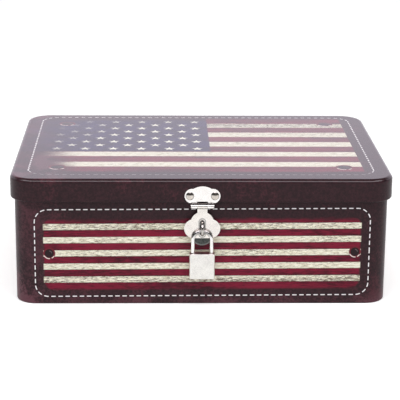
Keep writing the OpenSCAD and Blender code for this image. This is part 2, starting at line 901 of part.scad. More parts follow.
body_band();
body_bottom();
lid_shell();
at_hinge(-1) hinge_leaf_body();  // hinge_leaf_body_left
at_hinge(1) hinge_leaf_body();  // hinge_leaf_body_right
at_hinge(-1) hinge_leaf_lid();  // hinge_leaf_lid_left
at_hinge(1) hinge_leaf_lid();  // hinge_leaf_lid_right
at_hinge(-1) hinge_pin();  // hinge_pin_left
at_hinge(1) hinge_pin();  // hinge_pin_right
hinge_rivets_body();
hinge_rivets_lid();
hasp_plate();
hasp_rivets();
hasp_pin();
hasp_tongue();
staple_plate();
staple_loop();
staple_rivets();
padlock_shackle();
padlock_case();
padlock_plug();
padlock_bolt();
padlock_pins();
padlock_spring();
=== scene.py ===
# %% [markdown] # Small tin trunk with a hasp and padlock The trunk is a tinplate box with a picture of
# stitched leather and old painted stripes printed on it. This lesson gives each piece its finish, and
# then sets up the floor, the light and the camera.

import json
import math

import bpy
from mathutils import Matrix, Vector


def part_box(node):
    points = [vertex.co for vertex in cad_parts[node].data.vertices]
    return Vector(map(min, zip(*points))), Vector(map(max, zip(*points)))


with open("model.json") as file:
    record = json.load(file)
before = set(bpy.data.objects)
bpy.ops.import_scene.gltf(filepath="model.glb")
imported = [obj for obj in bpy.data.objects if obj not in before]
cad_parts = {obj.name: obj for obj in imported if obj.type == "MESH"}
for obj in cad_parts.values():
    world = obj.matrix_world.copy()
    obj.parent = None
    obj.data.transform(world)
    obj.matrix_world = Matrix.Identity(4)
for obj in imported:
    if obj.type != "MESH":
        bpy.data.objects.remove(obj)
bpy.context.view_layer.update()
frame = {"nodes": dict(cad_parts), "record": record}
scene = bpy.context.scene

# %% [markdown]
# ## Sizes taken from the frame
# A print follows the tin that it is on, so its places are worked out from the boxes of the lid and the
# body. All lengths in the materials are in millimetres, because a print is easier to think of that way.
# Radii and thicknesses don't show in a box, so they are given here as they are in the CAD model.

# %% Sizes in millimetres
MM = 0.001


def box_mm(node):
    """The lowest and highest corner of a CAD node, in millimetres."""
    return [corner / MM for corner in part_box(node)]


lid_low, lid_high = box_mm("lid_shell")
body_low, body_high = box_mm("body_band")
lid_w, lid_d = lid_high.x - lid_low.x, lid_high.y - lid_low.y
body_w, body_d = body_high.x - body_low.x, body_high.y - body_low.y
lid_top = lid_high.z
skirt_z = lid_low.z
rim_z = body_high.z
overhang = (lid_w - body_w) / 2
lid_corner_r = 16
body_corner_r = lid_corner_r - overhang
lid_edge_r = 2.5
foot_r = 1.2
hem_d = 1.8
tin_t = 0.35
strap_t = 0.7
print(f"lid {lid_w:.1f} x {lid_d:.1f}, body {body_w:.1f} x {body_d:.1f}")
print(f"top of the lid {lid_top:.1f}, foot of its skirt {skirt_z:.1f}, rim of the body {rim_z:.1f}")

# %% [markdown]
# ## Writing shader maths in Python
# A print could be an image, but a drawing made of formulas stays sharp at any size: distances, bands and
# dots. As nodes, each plus and times is a Math node of its own, which is slow to read. The class below
# wraps one socket, so that the drawing can be written as plain sums. Anything else, such as a noise
# texture, comes from its one method node().


# %% A socket that can be used in sums
class Wire:
    """One output socket of a shader node. Sums on it add Math nodes to its tree."""

    def __init__(self, socket):
        self.socket = socket

    def node(self, kind, settings=None, sockets=None, output=0):
        """Adds a node with its settings, fills its sockets with numbers or wires, and returns an output."""
        made = self.socket.id_data.nodes.new(kind)
        for name, value in (settings or {}).items():
            setattr(made, name, value)
        for key, value in (sockets or {}).items():
            if isinstance(value, Wire):
                self.socket.id_data.links.new(value.socket, made.inputs[key])
            else:
                made.inputs[key].default_value = value
        return Wire(made.outputs[output])

    def math(self, operation, *values):
        return self.node("ShaderNodeMath", {"operation": operation}, dict(enumerate(values)))

    def __add__(self, other):
        return self.math("ADD", self, other)

    def __radd__(self, other):
        return self.math("ADD", other, self)

    def __sub__(self, other):
        return self.math("SUBTRACT", self, other)

    def __rsub__(self, other):
        return self.math("SUBTRACT", other, self)

    def __mul__(self, other):
        return self.math("MULTIPLY", self, other)

    def __rmul__(self, other):
        return self.math("MULTIPLY", other, self)

    def __truediv__(self, other):
        return self.math("DIVIDE", self, other)

    def __abs__(self):
        return self.math("ABSOLUTE", self)

    def __lt__(self, other):
        return self.math("LESS_THAN", self, other)

    def __gt__(self, other):
        return self.math("GREATER_THAN", self, other)


def least(a, b):
    return a.math("MINIMUM", a, b)


def most(a, b):
    return a.math("MAXIMUM", a, b)


def any_of(masks):
    """The largest of several masks."""
    total = masks[0]
    for mask in masks[1:]:
        total = most(total, mask)
    return total


def length(a, b):
    return a.math("SQRT", a * a + b * b)


reflected = sorted(name for name in vars(Wire) if name.startswith("__r"))
print("sums that also work with a number in front:", reflected)

# %% [markdown]
# ## Masks and colours
# Everything printed is a colour laid over another one through a mask, as a printer lays one ink over
# another through a screen. A mask is a number from 0 to 1 at each point. rise() makes the soft edge of a
# mask, band() makes a stripe out of two edges, and blend() lays the colour.

# %% Edges, stripes and colours


def rise(value, start, end):
    """0 at start and 1 at end, with a soft step between them. Start may be the larger of the two."""
    return value.node("ShaderNodeMapRange", {"interpolation_type": "SMOOTHSTEP"},
                      {"Value": value, "From Min": start, "From Max": end})


def band(value, low, high, soft=0.22):
    """A mask that is 1 between two places."""
    return rise(value, low - soft, low + soft) * rise(value, high + soft, high - soft)


def blend(share, low, high):
    """A colour between two colours, which may be wires."""
    values = {"Factor": share}
    for key, colour in ((6, low), (7, high)):
        values[key] = colour if isinstance(colour, Wire) else (*colour, 1)
    return share.node("ShaderNodeMix", {"data_type": "RGBA"}, values, output=2)


def linear(red, green, blue):
    """A colour as a screen shows it, from 0 to 255, turned into the renderer's linear light."""
    def channel(value):
        share = value / 255
        return share / 12.92 if share <= 0.04045 else ((share + 0.055) / 1.055) ** 2.4
    return tuple(channel(value) for value in (red, green, blue))


print("half grey on the screen is", round(linear(128, 128, 128)[0], 3), "in linear light")

# %% [markdown]
# ## Noise and rounded rectangles
# Old leather is mottled at two scales, and worn paint has streaks along the brush. Both are noise
# textures: round for leather, and stretched along one axis for paint. The seams are rows of stitches that
# follow a rectangle with rounded corners, so the row needs two formulas: how far a point lies from the
# rectangle's line, and how far along the line it lies.

# %% Noise and distances
almost_zero = 0.0001


def noise(at, scale, detail=2.0, roughness=0.5, stretch=(1, 1, 1), shift=(0, 0, 0)):
    """A noise value from 0 to 1 and mostly near 0.5, with its scale in features per millimetre."""
    spot = at.node("ShaderNodeMapping", {}, {"Vector": at, "Location": shift, "Scale": stretch})
    return at.node("ShaderNodeTexNoise", {},
                   {"Vector": spot, "Scale": scale, "Detail": detail, "Roughness": roughness})


def rounded_distance(u, v, half_w, half_h, radius):
    """How far a point lies outside a rectangle with rounded corners. It is negative inside."""
    over_u = abs(u) - (half_w - radius)
    over_v = abs(v) - (half_h - radius)
    return length(most(over_u, 0), most(over_v, 0)) + least(most(over_u, over_v), 0) - radius


def way_round(u, v, half_w, half_h, radius):
    """How far along a rounded rectangle a point lies, from the middle of each long side."""
    flat_u, flat_v = half_w - radius, half_h - radius
    angle = u.math("ARCTAN2", most(abs(u) - flat_u, 0), most(abs(v) - flat_v, almost_zero))
    return least(abs(u), flat_u) + angle * radius + (flat_v - least(abs(v), flat_v))


print("a noise of scale 0.5 has features about", round(1 / 0.5), "mm wide")

# %% [markdown]
# ## Stitches
# Each printed stitch is a short thread with round ends in a dark dent. The way round the rectangle is cut
# into equal lengths, one for each stitch, and a point is then measured from the middle of its own stitch.
# A whole number of stitches goes round, so that the row closes without a cut one.

# %% Rows of stitches


class StitchRow:
    """A row of stitches on a rounded rectangle, as masks."""

    soft_edge = 0.12
    dent_w = 0.7

    def __init__(self, half_w, half_h, radius, count, stitch_l, thread_t, first_above, first_below):
        self.outline = (half_w, half_h, radius)
        self.pitch = (4 * (half_w + half_h - 2 * radius) + 2 * math.pi * radius) / count
        self.stitch_l, self.thread_t = stitch_l, thread_t
        self.first_above, self.first_below = first_above, first_below

    def masks(self, u, v):
        """Masks of the stitches and of the dark dents round them. The point (u, v) is from the middle."""
        off_line = abs(rounded_distance(u, v, *self.outline))
        way = way_round(u, v, *self.outline) * u.math("SIGN", u)
        first = self.first_above + (v < 0) * (self.first_below - self.first_above)
        along = (way - first) / self.pitch + 0.5
        from_middle = abs(along.math("FRACT", along) - 0.5) * self.pitch
        past_end = most(from_middle - (self.stitch_l - self.thread_t) / 2, 0)
        from_thread = length(off_line, past_end)
        half_t = self.thread_t / 2
        thread = rise(from_thread, half_t + self.soft_edge, half_t - self.soft_edge)
        dent = rise(from_thread, half_t + self.dent_w, half_t)
        return thread, dent


stitch_white = linear(250, 244, 246)
stitch_hole = linear(28, 19, 22)
print("dents reach", StitchRow.dent_w, "mm beyond the thread")

# %% [markdown]
# ## The printed leather
# The print has a dark oxblood ground with redder, worn patches. The lacquer over it is thin and shiny, so
# the ground is darker here than it looks, because the shine adds a little light to it. A noise is turned
# into patches by rise() with two numbers near 0.5: the closer they are, the harder the patch's edge, and
# the higher they are, the rarer the patches.

# %% The leather ground
leather_dark = linear(42, 27, 31)
leather_mid = linear(58, 35, 40)
leather_red = linear(86, 45, 53)
leather_pale = linear(98, 61, 70)
leather_patch_scale = 0.05
leather_grain_scale = 0.6
patch_strength = 0.75


def leather_ground(at, rubbing, fading):
    """The colour of the printed leather. Rubbing makes it redder and fading paler, both from 0 to 1."""
    broad = noise(at, leather_patch_scale, 4, 0.6)
    fine = noise(at, leather_grain_scale, 4, 0.7, shift=(40, 7, 3))
    ground = blend(rise(fine, 0.36, 0.66), leather_dark, leather_mid)
    patches = rise(broad + rubbing * 0.2 + (fine - 0.5) * 0.5, 0.56, 0.82)
    ground = blend(patches * patch_strength, ground, leather_red)
    return blend(fading * rise(broad * 0.6 + fine * 0.4, 0.38, 0.6), ground, leather_pale)


print("leather patches are about", round(1 / leather_patch_scale), "mm across")

# %% [markdown]
# ## The painted stripes
# The cream paint is streaked and stained, as if dragged over wood with a dry brush. The red paint is even,
# with darker clouds. The printer drew a thin dark line round each cream stripe, which keeps the edge crisp
# where cream meets red.

# %% Cream and red paint
cream_light = linear(250, 247, 230)
cream_mid = linear(217, 209, 184)
cream_stain = linear(106, 94, 82)
red_paint = linear(128, 25, 51)
red_deep = linear(66, 18, 31)
streak_scale, stain_scale, fibre_scale = 1.3, 0.16, 1.9
cloud_scale, bristle_scale = 0.1, 1.1
brush = (0.16, 1, 1)
fibre = (0.2, 1, 1)
outline_w, outline_soft, outline_strength = 0.4, 0.3, 0.6


def cream_paint(at, grime):
    """Streaked cream paint, with strokes along x. Grime from 0 to about 1 adds stains."""
    streaks = noise(at, streak_scale, 4, 0.75, brush)
    stains = noise(at, stain_scale, 4, 0.65, brush, shift=(11, 3, 17))
    fine = noise(at, fibre_scale, 4, 0.8, fibre, shift=(5, 21, 9))
    paint = blend(rise(streaks, 0.60, 0.40), cream_mid, cream_light)
    stained = rise(streaks * 0.25 + stains * 0.22 + fine * 0.53 + grime * 0.04, 0.505, 0.61)
    return blend(stained, paint, cream_stain)


def red_stripe_paint(at):
    """Even red paint with darker clouds and bristle marks along x."""
    clouds = noise(at, cloud_scale, 4, 0.65, brush, shift=(3, 31, 2))
    grain = noise(at, bristle_scale, 3, 0.7, brush, shift=(7, 2, 5))
    return blend(rise(clouds * 0.55 + grain * 0.45, 0.42, 0.64), red_paint, red_deep)


def outline(value, stripes):
    """A mask that is 1 on stripes and on the thin dark line that the printer drew round them."""
    return any_of([band(value, low - outline_w, high + outline_w, outline_soft) for low, high in stripes])


streak_w = 1 / streak_scale
print(f"streaks are about {streak_w:.1f} mm wide and {streak_w / brush[0]:.1f} mm long")

# %% [markdown]
# ## Worn paint
# Paint wears off along a ragged edge, and flakes off in small chips that follow the brush. The ragged edge
# is a noise that is added to the distance before the soft step is taken. The chips are the few high places
# of another noise.

# %% Ragged edges and chips
ragged = (0.3, 1, 1)


def torn_edge(at, scale, reach, shift):
    """How far the paint's edge is torn back or left standing, in millimetres, within half the reach."""
    return (noise(at, scale, 4, 0.7, ragged, shift) - 0.5) * reach


def chips(at, scale, rarity, strength):
    """A mask of small chips. Rarity is the pair of noise values between which a chip begins."""
    return rise(noise(at, scale, 4, 0.75, brush, (8, 2, 31)), *rarity) * strength


print("chips are about", round(1 / brush[0]), "times as long as high")

# %% [markdown]
# ## Printed snaps
# Small printed discs stand for the snaps of a leather case: a red ring, a dark button with a thin grey
# glint in its upper right, and two pale glints along the lower edge. All their parts are rings, so each is
# a band of the distance from the middle, and an arc is a ring times a band of the angle.

# %% A printed snap
snap_dark = linear(40, 27, 30)
snap_rim = linear(110, 30, 44)
snap_grey = linear(104, 88, 92)
snap_glint = linear(255, 246, 240)
snap_soft = 0.06
button_edge = (0.78, 0.7)
inner_ring, inner_arc, inner_arc_soft = (0.34, 0.46), (1.6, 3.6), 0.2
glint_ring, glint_arcs, glint_arc_soft = (0.86, 0.98), [(-1.13, 0.12), (0.45, 1.0)], 0.08


def paint_snap(paint, u, v, radius):
    """Paints a printed snap over a colour. The point (u, v) is measured from the snap's middle.

    Rings are given in shares of the radius, and arcs in radians from straight down.
    """
    out = length(u, v)
    turn = u.math("ARCTAN2", u, v * -1)
    soft = radius * snap_soft
    disc = rise(out, radius + soft, radius - soft)
    button = rise(out, *(radius * share for share in button_edge))
    inner = band(out, *(radius * share for share in inner_ring), soft)
    inner = inner * band(turn, *inner_arc, inner_arc_soft)
    glint = band(out, *(radius * share for share in glint_ring), soft)
    arcs = any_of([band(turn, *arc, glint_arc_soft) for arc in glint_arcs])
    paint = blend(disc, paint, snap_rim)
    paint = blend(button, paint, snap_dark)
    paint = blend(inner, paint, snap_grey)
    return blend(glint * arcs, paint, snap_glint)


print("a snap has", 1 + len(glint_arcs), "glints")

# %% [markdown]
# ## The body's panel
# Each wall carries the same panel: a row of stitches round it, five cream stripes on red, and a snap at
# each end. The print sits a little to the right of the tin's middle and climbs a little to the right, as
# it does on the real tin.

# %% The body's panel in millimetres
print_shift = 0.45
print_tilt = 0.0056
panel_half_w = 105.2
panel_z = (5.6, 62.7)
panel_mid_z = sum(panel_z) / 2
panel_half_h = (panel_z[1] - panel_z[0]) / 2
body_row = StitchRow(panel_half_w, panel_half_h, radius=8.2, count=116, stitch_l=2.9, thread_t=0.66,
                     first_above=3.1, first_below=0.3)
stripe_half_w, stripe_soft = 99.85, 0.2
first_cream_z, cream_pitch, cream_count, cream_h = 14.75, 8.68, 5, 3.95
cream_z = [first_cream_z + cream_pitch * i for i in range(cream_count)]
body_stripes = [(low, low + cream_h) for low in cream_z]
snap_at, snap_r = (96.2, 34.2), 3.8
print(f"the body's stitches are {body_row.pitch:.2f} mm apart, its cream stripes {cream_h} mm high")

# %% [markdown]
# ## From the bent tin to the flat sheet
# The real sheet was printed flat and then bent, and a drawing is simplest on a flat sheet too. So a point
# on a short wall is measured along y instead of x. The panel is narrower there by a whole number of
# stitches on each side, so its row needs no cut stitch. The short walls' noise is read from a place far
# away, so that they don't show the same wear as the long ones.

# %% Unbend the walls
end_wall_shift = 300


def unbend(at, x, y, z):
    """The place on the flat sheet, the half of the panel, the distance across it, and the level on it."""
    on_end = (abs(x) - body_w / 2) > (abs(y) - body_d / 2)
    wall_gap = body_row.pitch * round((body_w - body_d) / 2 / body_row.pitch)
    from_middle = x - print_shift + (y - x + print_shift) * on_end
    half = from_middle.math("SIGN", from_middle)
    across = from_middle + half * wall_gap * on_end
    level = z - from_middle * print_tilt
    along = x + (y + end_wall_shift - x) * on_end
    flat = at.node("ShaderNodeCombineXYZ", {}, {"X": along, "Y": x * 0, "Z": level})
    return flat, half, across, level


print(f"the print climbs {print_tilt * body_w:.1f} mm from left to right")

# %% [markdown]
# ## The body's ground and stripes
# The leather is rubbed and faded where the trunk was held and set down: at the left end and near the foot.
# The red paint has torn edges at its top and foot, and the cream stripes lie over it. The highest and the
# lowest cream stripe are the dirtiest.

# %% The body's worn ground
left_wear_x = (-86, -116)
low_wear_z = (34, 2)
foot_wear_z = (9, 1)


def body_ground(at, x, z):
    """Leather that is redder and paler at the left end and near the foot."""
    low_down = rise(z, *low_wear_z)
    at_left = rise(x, *left_wear_x)
    pale = most(at_left * (0.4 + low_down * 1.3), rise(z, *foot_wear_z) * 0.6)
    return leather_ground(at, low_down * 0.6 + at_left * 0.35, pale)


print("the wear at the foot reaches", low_wear_z[0], "mm up")

# %% The body's red paint
red_z = (9.6, 57.0)
red_half_h, red_corner_r, red_drop = 24.6, 7, 0.4
red_top_soft, red_foot_soft, red_side_soft = (0.6, 3.4), (1.2, 2.2), (0.3, 1.4)
torn_scale, torn_reach, foot_torn_share = 0.4, 4, 0.5


def lay_body_red(paint, flat, across, level, on_panel):
    """Lays the red paint and the dark lines round the cream stripes.

    Each soft edge of the red is a pair: how far it reaches outside and inside its line.
    """
    torn = torn_edge(flat, torn_scale, torn_reach, shift=(1, 9, 4))
    top = rise(level + torn, red_z[1] + red_top_soft[0], red_z[1] - red_top_soft[1])
    foot = rise(level + torn * foot_torn_share, red_z[0] - red_foot_soft[0], red_z[0] + red_foot_soft[1])
    from_mid = level - panel_mid_z + red_drop
    past_side = rounded_distance(across, from_mid, stripe_half_w, red_half_h, red_corner_r)
    sides = rise(past_side, red_side_soft[0], -red_side_soft[1])
    paint = blend(on_panel * top * foot * sides, paint, red_stripe_paint(flat))
    return blend(outline(level, body_stripes) * on_panel * outline_strength, paint, red_deep)


print("red paint from", red_z[0], "to", red_z[1], "mm above the floor")

# %% The body's cream stripes
chip_scale, chip_rarity, chip_strength = 0.5, (0.70, 0.80), 0.6
top_grime, top_grime_h = 0.5, 3
low_grime, low_grime_h = 1.2, 6


def lay_body_cream(paint, flat, level, on_panel):
    """Lays the cream stripes, with chips and with grime on the highest and the lowest one."""
    on_stripe = any_of([band(level, low, high) for low, high in body_stripes])
    chipped = chips(flat, chip_scale, chip_rarity, chip_strength)
    grime_above = rise(level, cream_z[-1] - top_grime_h, cream_z[-1]) * top_grime
    grime_below = rise(level, cream_z[0] + low_grime_h, cream_z[0]) * low_grime
    cream = cream_paint(flat, most(grime_above, grime_below))
    return blend(on_stripe * on_panel * (1 - chipped), paint, cream)


print("cream stripes at", [round(low, 1) for low in cream_z])

# %% [markdown]
# ## The body's whole print
# The layers are laid in the order in which the picture hides them: leather, red, cream, snaps, the dark
# dents of the stitches, and the white threads.

# %% All layers of the body
hole_strength = 0.75


def body_colour(at, x, y, z):
    """The printed colour of the body's outer side."""
    flat, half, across, level = unbend(at, x, y, z)
    from_middle = abs(across)
    on_panel = rise(from_middle, stripe_half_w + stripe_soft, stripe_half_w - stripe_soft)
    paint = body_ground(at, x, z)
    paint = lay_body_red(paint, flat, across, level, on_panel)
    paint = lay_body_cream(paint, flat, level, on_panel)
    paint = paint_snap(paint, (from_middle - snap_at[0]) * half, level - snap_at[1], snap_r)
    thread, dent = body_row.masks(across, level - panel_mid_z)
    paint = blend(dent * hole_strength, paint, stitch_hole)
    return blend(thread, paint, stitch_white)


print("snaps of", snap_r * 2, "mm,", snap_at[0], "mm from the middle of a long wall")

# %% [markdown]
# ## The stars
# A star is drawn once, as a distance to one of its edges, folded five times round its middle. A second
# formula finds the nearest star place in a row. Fifty separate stars would look the same, but this way
# they cost no more nodes than two.

# %% One star and its places
star_r = 3.9
star_waist = 0.4
star_soft = 0.25


def nearest_place(value, start, pitch, count):
    """How far a value lies from the nearest of a row of places."""
    step = value.math("ROUND", (value - start) / pitch)
    return value - start - most(least(step, count - 1), 0) * pitch


def star_mask(u, v, radius):
    """A five-pointed star with one tip towards +v."""
    tenth = math.pi / 5
    turn = u.math("ARCTAN2", u, v) + math.pi
    folded = abs(turn.math("MODULO", turn, 2 * tenth) - tenth)
    out = length(u, v)
    tip = Vector((radius, 0))
    notch = Vector((math.cos(tenth), math.sin(tenth))) * radius * star_waist
    edge = (notch - tip).normalized()
    outwards = Vector((-edge.y, edge.x)) * -1
    along_tip = out * folded.math("COSINE", folded) - tip.x
    from_tip = out * folded.math("SINE", folded)
    return rise(along_tip * outwards.x + from_tip * outwards.y, star_soft, -star_soft)


print(f"a star's tips lie {star_r} mm and its notches {star_r * star_waist:.1f} mm from its middle")

# %% [markdown]
# ## The lid's panel
# The top of the lid has wider stripes, a blue field with rows of stars, and the same stitches and snaps.
# Its front stitches are rubbed, as if hands had opened the trunk there for years. The wear is a part of
# the print, so it stays in the colour and makes no dents.

# %% The lid's panel in millimetres
lid_row = StitchRow(half_w=109.4, half_h=78.6, radius=12, count=152, stitch_l=2.8, thread_t=0.95,
                    first_above=0.7, first_below=0.7)
lid_row_mid_y = 1.4
lid_cream_y = [(-57.6, -46.1), (-31.3, -19.8), (-5.1, 7.5), (21.7, 34.7), (49.1, 61.3)]
lid_red_y = (-71, 80)
lid_stripe_x = (-100.4, 103.3)
lid_stripe_soft, lid_cream_soft = 0.3, 0.5
field_x, field_y, field_soft = (-101, 7.4), (-18.7, 72), 0.4
lid_snaps, lid_snap_r = [(91.5, -59.3), (91.5, 60)], 5.7
print(f"the lid's stitches are {lid_row.pitch:.2f} mm apart, its stripes", len(lid_cream_y))

# %% [markdown]
# ## The lid's wear
# The left side is faded most. One broad noise says how far the fading reaches in from the left, and the
# stripes, the field and the stars all read it, so that they fade together as one worn place.

# %% The lid's worn ground
top_edge_z = (lid_top - 0.5, lid_top - 0.2)
lid_left_wear_x = (-60, -112)
pale_patch_scale, pale_patch_strength = 0.055, 0.9
fade_scale, fade_reach, fade_stretch = 0.06, 40, (0.7, 1, 1)
lid_torn_scale, lid_torn_reach = 0.3, 8


def lid_ground(at, x, on_top):
    """Leather that is redder at the left of the top, and mottled with pale patches there."""
    at_left = rise(x, *lid_left_wear_x) * on_top
    ground = leather_ground(at, at_left * 0.5, at_left * 0.15)
    patches = rise(noise(at, pale_patch_scale, 4, 0.65, shift=(7, 7, 1)), 0.48, 0.60)
    return blend(patches * at_left * pale_patch_strength, ground, leather_pale)


print("the fading reaches up to", fade_reach, "mm in from the left")

# %% The lid's stripes
front_stripe_y = (-34, -42)
bare_end, bare_front_end, bare_blend_end = 4, 10, 36
lid_front_soft, lid_back_soft = (1, 3), 10
front_torn_share = 0.4
lid_chip_scale, lid_chip_rarity, lid_chip_strength = 0.4, (0.68, 0.80), 0.5
back_grime_y, back_grime, front_clean = (10, 62), 2.0, 0.6


def lay_lid_stripes(paint, at, x, y, left_wear, torn):
    """Lays the red paint, the dark lines and the cream stripes, which all fade out at the left."""
    at_front = rise(y, *front_stripe_y)
    bare_x = lid_stripe_x[0] + left_wear * -0.5
    from_left = rise(x, bare_x + bare_end + at_front * bare_front_end, bare_x + bare_blend_end)
    from_right = rise(x, lid_stripe_x[1] + lid_stripe_soft, lid_stripe_x[1] - lid_stripe_soft)
    ends = from_left * from_right
    front_y, back_y = lid_red_y
    torn_front = torn * front_torn_share
    red_front = rise(y + torn_front, front_y - lid_front_soft[0], front_y + lid_front_soft[1])
    red_back = rise(y + torn, back_y, back_y - lid_back_soft)
    paint = blend(red_front * red_back * ends, paint, red_stripe_paint(at))
    paint = blend(outline(y, lid_cream_y) * ends * outline_strength, paint, red_deep)

    on_stripe = any_of([band(y, low, high, lid_cream_soft) for low, high in lid_cream_y]) * ends
    chipped = chips(at, lid_chip_scale, lid_chip_rarity, lid_chip_strength)
    grime = rise(y, *back_grime_y) * back_grime - front_clean
    return blend(on_stripe * (1 - chipped), paint, cream_paint(at, grime))


print("the widest cream stripe is", round(max(high - low for low, high in lid_cream_y), 1), "mm")

# %% The blue field
field_blue = linear(38, 37, 84)
field_deep = linear(31, 28, 60)
field_cloud_scale = 0.12
field_left_end, field_back_soft = 4, 6


def lay_field(paint, ground, at, x, y, left_wear, torn):
    """Lays the blue field, which fades into the leather on the left and at the back."""
    on_field = rise(x, field_x[1] + field_soft, field_x[1] - field_soft) * rise(
        y, field_y[0] - field_soft, field_y[0] + field_soft)
    fade_left = rise(x + left_wear, field_x[0] - field_left_end, field_x[0] + fade_reach)
    fade_back = rise(y + torn, field_y[1] + field_back_soft, field_y[1] - field_back_soft)
    cloud = noise(at, field_cloud_scale, 4, 0.65, shift=(2, 13, 7))
    blue = blend(rise(cloud, 0.4, 0.62), field_blue, field_deep)
    field = blend(fade_left * fade_back, ground, blue)
    return blend(on_field, paint, field)


print("the field is", field_x[1] - field_x[0], "x", field_y[1] - field_y[0], "mm")

# %% The rows of stars
star_pitch_x, star_pitch_y = 18.7, 19.3
star_rows = [(-94.7, -11.3, 6, 5), (-85.3, -1.65, 5, 4)]
star_fade_x, star_fade_y, star_fade_slant = (-108, -35), (88, 52), 0.45


def lay_stars(paint, x, y, left_wear):
    """Lays the stars, which fade out towards the left and the back.

    Each set of rows gives the x and y of its first star, and its count of stars across and deep.
    """
    stars = any_of([star_mask(nearest_place(x, first_x, star_pitch_x, across),
                              nearest_place(y, first_y, star_pitch_y, deep), star_r)
                    for first_x, first_y, across, deep in star_rows])
    shown = rise(x + left_wear - y * star_fade_slant, *star_fade_x) * rise(y, *star_fade_y)
    return blend(stars * shown, paint, cream_light)


print("stars on the lid:", sum(across * deep for _, _, across, deep in star_rows))

# %% All layers of the lid
lid_hole_strength = 0.5
rubbed_y, rubbed_strength = (-66, -75), 0.76


def lid_colour(at, x, y, z):
    """The printed colour of the lid's top, with plain leather on its skirt."""
    on_top = rise(z, *top_edge_z)
    ground = lid_ground(at, x, on_top)
    left_wear = noise(at, fade_scale, 4, 0.65, fade_stretch, (9, 4, 1)) * fade_reach
    torn = torn_edge(at, lid_torn_scale, lid_torn_reach, shift=(4, 4, 2))
    paint = lay_lid_stripes(ground, at, x, y, left_wear, torn)
    paint = lay_field(paint, ground, at, x, y, left_wear, torn)
    paint = lay_stars(paint, x, y, left_wear)
    for snap_x, snap_y in lid_snaps:
        paint = paint_snap(paint, (abs(x) - snap_x) * x.math("SIGN", x), y - snap_y, lid_snap_r)
    thread, dent = lid_row.masks(x, y - lid_row_mid_y)
    paint = blend(dent * lid_hole_strength, paint, stitch_hole)
    paint = blend(thread * (1 - rise(y, *rubbed_y) * rubbed_strength), paint, stitch_white)
    return blend(on_top, ground, paint)


print("snaps on the lid:", 2 * len(lid_snaps))

# %% [markdown]
# ## Building a material
# Every finish starts from the same two nodes: the object's own coordinates, turned into millimetres, and
# a Principled shader. The finish then fills the shader's sockets with wires or plain numbers. Object
# coordinates move with the piece, so a print stays in place on the lid when the lid opens.

# %% Starting a finish


def new_finish(name):
    """A new material with its shader, and its coordinates in millimetres as one wire and as x, y and z."""
    material = bpy.data.materials.new(name)
    material.use_nodes = True
    tree = material.node_tree
    shader = tree.nodes["Principled BSDF"]
    start = Wire(tree.nodes.new("ShaderNodeTexCoord").outputs["Object"])
    at = start.node("ShaderNodeVectorMath", {"operation": "SCALE"}, {0: start, "Scale": 1 / MM})
    x, y, z = (at.node("ShaderNodeSeparateXYZ", {}, {"Vector": at}, output=i) for i in range(3))
    return material, shader, at, x, y, z


def fill(shader, **values):
    """Sets the shader's sockets. Names are the sockets' own, with underscores for spaces."""
    for name, value in values.items():
        socket = shader.inputs[name.replace("_", " ")]
        if isinstance(value, Wire):
            value.socket.id_data.links.new(value.socket, socket)
        else:
            socket.default_value = value


def bumps(height, depth):
    """A normal that shows a height from 0 to 1 as dents of a depth in millimetres."""
    return height.node("ShaderNodeBump", {}, {"Height": height, "Distance": depth * MM, "Strength": 1.0})


print("finishes measure in steps of", MM, "m")

# %% [markdown]
# ## Bare tin
# Tinplate is rolled, which leaves fine streaks along the sheet and faint clouds where the tin flowed. The
# colour is a function of its own, because the bare inside of the printed pieces uses it too.

# %% Plain tin
tin_bright = (0.66, 0.64, 0.60)
tin_dull = (0.50, 0.49, 0.46)
tin_streak_scale, tin_cloud_scale = 1.4, 0.05
rolled = (0.05, 1, 1)


def tin_colour(at):
    """Rolled tinplate: fine streaks along the sheet, and faint cloudy patches."""
    streaks = noise(at, tin_streak_scale, 3, 0.6, rolled)
    clouds = noise(at, tin_cloud_scale, 3, 0.6, shift=(6, 2, 8))
    return blend(rise(streaks * 0.5 + clouds * 0.5, 0.38, 0.62), tin_bright, tin_dull)


print("tin reflects", tin_dull[0], "to", tin_bright[0], "of red light")

# %% [markdown]
# ## Print outside, bare tin inside
# The sheet is printed and lacquered on one side only. A material can't see which side it is on, but it can
# measure how deep a point lies below the outer surface: more than half the sheet's thickness is inside. The
# rolled hems turn the printed side round, so they count as outside.

# %% How deep a point lies in the sheet


def sheet_depth(x, y, half_w, half_d, radius, past_edge, edge_r):
    """Depth below the outer surface of a box whose walls meet its flat end in a rounded edge."""
    over_wall = rounded_distance(x, y, half_w, half_d, radius) + edge_r
    over_end = past_edge + edge_r
    outside = length(most(over_wall, 0), most(over_end, 0))
    return edge_r - outside - least(most(over_wall, over_end), 0)


def body_depth(x, y, z):
    on_hem = z > rim_z - hem_d
    depth = sheet_depth(x, y, body_w / 2, body_d / 2, body_corner_r, z * -1, foot_r)
    return depth * (1 - on_hem)


def lid_depth(x, y, z):
    on_hem = z < skirt_z + hem_d
    depth = sheet_depth(x, y, lid_w / 2, lid_d / 2, lid_corner_r, z - lid_top, lid_edge_r)
    return depth * (1 - on_hem)


print("bare tin lies more than", tin_t / 2, "mm below the print")

# %% [markdown]
# ## The lacquered print
# A thin lacquer covers the print. It is uneven, so a fine grain feeds its roughness and its dents. The top
# of the lid has a glossier coat than the walls, which is a mask on the height: where it is 1, the ground
# is smoother and a clear coat lies over it.

# %% The two printed finishes
top_gloss_z = (lid_top - 2.0, lid_top - 1.3)
lacquer_grain_scale, lacquer_dents, lacquer_ior = 0.8, 0.02, 1.25
wall_roughness, roughness_spread = 0.24, 0.14
smoother_top, rougher_tin, tin_metal = 0.12, 0.1, 0.95
coat_weight, coat_roughness, coat_ior = 0.45, 0.06, 1.5


